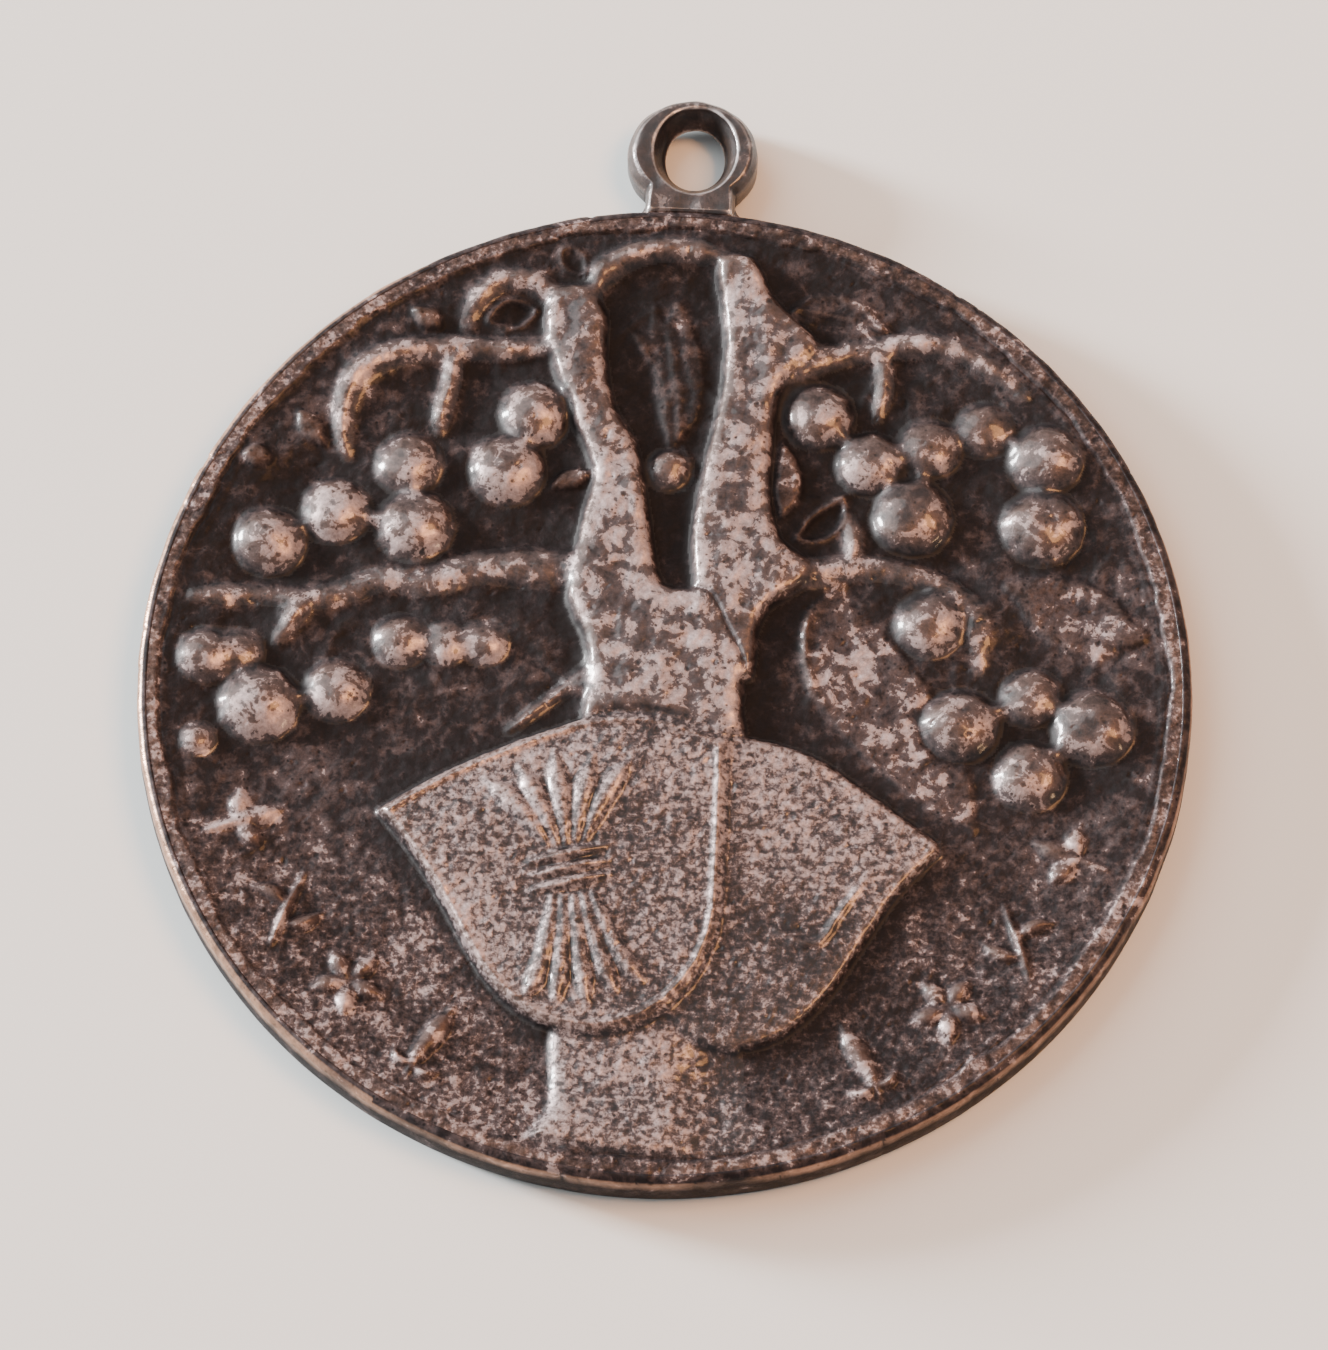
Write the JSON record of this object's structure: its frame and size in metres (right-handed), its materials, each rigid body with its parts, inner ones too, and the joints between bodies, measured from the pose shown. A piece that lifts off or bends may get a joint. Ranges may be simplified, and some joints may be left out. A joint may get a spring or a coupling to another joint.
{
  "type": "commemorative medal",
  "caption": "Round struck bronze medal with a hanging eyelet; relief of a fruit tree behind two overlapping shields, with small ornaments round the lower rim.",
  "frame": {"origin": "middle of the flat back, on the plane that the medal rests on", "axes": "+Z out of the front face, +Y from the middle towards the hanging eyelet, +X to the right of the front face"},
  "size_m": [0.032, 0.036, 0.0019],
  "materials": {
    "dark_patina": "struck bronze under a dark brown patina",
    "worn_relief": "raised bronze, worn lighter, with dark pits",
    "eyelet_bronze": "smooth brown bronze, polished by handling",
    "solder_joint": "dark uneven braze"
  },
  "bodies": {
    "root": {"bud_left_rim": "dark_patina", "bud_left_top": "dark_patina", "crown_arch": "worn_relief", "crown_loop": "worn_relief", "eyelet_solder": "solder_joint", "fruit_in_fork": "worn_relief", "fruit_left_berry": "worn_relief", "fruit_left_hanging": "worn_relief", "fruit_left_inner": "worn_relief", "fruit_left_low": "worn_relief", "fruit_left_outer": "worn_relief", "fruit_right_hanging": "worn_relief", "fruit_right_inner": "worn_relief", "fruit_right_low": "worn_relief", "fruit_right_outer": "worn_relief", "hanging_eyelet": "eyelet_bronze", "lance_leaf_left": "dark_patina", "lance_leaf_right": "dark_patina", "leaf_at_crown": "dark_patina", "leaf_in_fork": "dark_patina", "leaf_in_loop": "dark_patina", "leaf_left_stalk": "dark_patina", "leaf_left_tip": "dark_patina", "leaf_right_low": "dark_patina", "leaf_right_spur": "dark_patina", "leaf_right_top": "dark_patina", "leaf_right_trunk": "dark_patina", "leaf_right_veined": "dark_patina", "left_lower_branch": "worn_relief", "left_trunk": "worn_relief", "left_upper_branch": "worn_relief", "medal_disc": "dark_patina", "right_lower_branch": "worn_relief", "right_trunk": "worn_relief", "right_upper_branch": "worn_relief", "rosette_left": "dark_patina", "rosette_right": "dark_patina", "sheaf_ears": "worn_relief", "sheaf_straw": "worn_relief", "sheaf_tie_1": "worn_relief", "sheaf_tie_2": "worn_relief", "sheaf_tie_3": "worn_relief", "shield_front": "worn_relief", "shield_front_border": "worn_relief", "shield_rear": "worn_relief", "shield_rear_rib": "worn_relief", "sprig_left": "dark_patina", "sprig_right": "dark_patina", "trefoil_left": "dark_patina", "trefoil_right": "dark_patina", "trunk_base": "worn_relief"}
  },
  "joints": []
}
